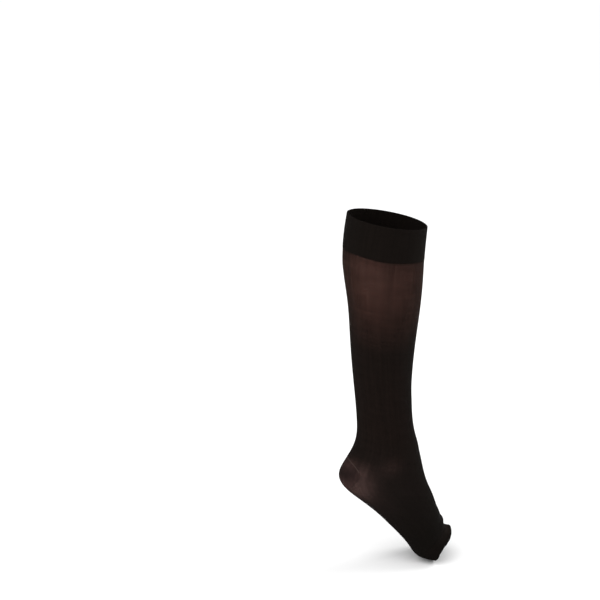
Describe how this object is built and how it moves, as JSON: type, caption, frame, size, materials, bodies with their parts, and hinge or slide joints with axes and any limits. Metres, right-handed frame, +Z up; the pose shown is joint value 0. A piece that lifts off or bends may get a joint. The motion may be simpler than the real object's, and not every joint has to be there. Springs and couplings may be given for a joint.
{
  "type": "compression stocking",
  "caption": "Knee-high open-toe compression stocking for a right foot, hollow in its worn shape with the heel raised: doubled top band, sheer leg and foot, heel pocket and toe band.",
  "frame": {"origin": "middle of the top opening, where the top band grips the leg below the knee", "axes": "+X forward, the way the toes point; +Y towards the big-toe side; +Z up along the leg; the camera side is the little-toe side, -Y"},
  "size_m": [0.1594, 0.1108, 0.5014],
  "materials": {
    "band_knit": "dense doubled black knit, matt",
    "sheer_knit": "semi-sheer black knit with a faint sheen, opaque at the ankle and towards the toes",
    "heel_knit": "semi-opaque black knit",
    "toe_knit": "dense black knit, matt"
  },
  "bodies": {
    "root": {"top_band": "band_knit", "leg": "sheer_knit", "heel_pocket": "heel_knit", "foot": "sheer_knit", "toe_band": "toe_knit"}
  },
  "joints": []
}
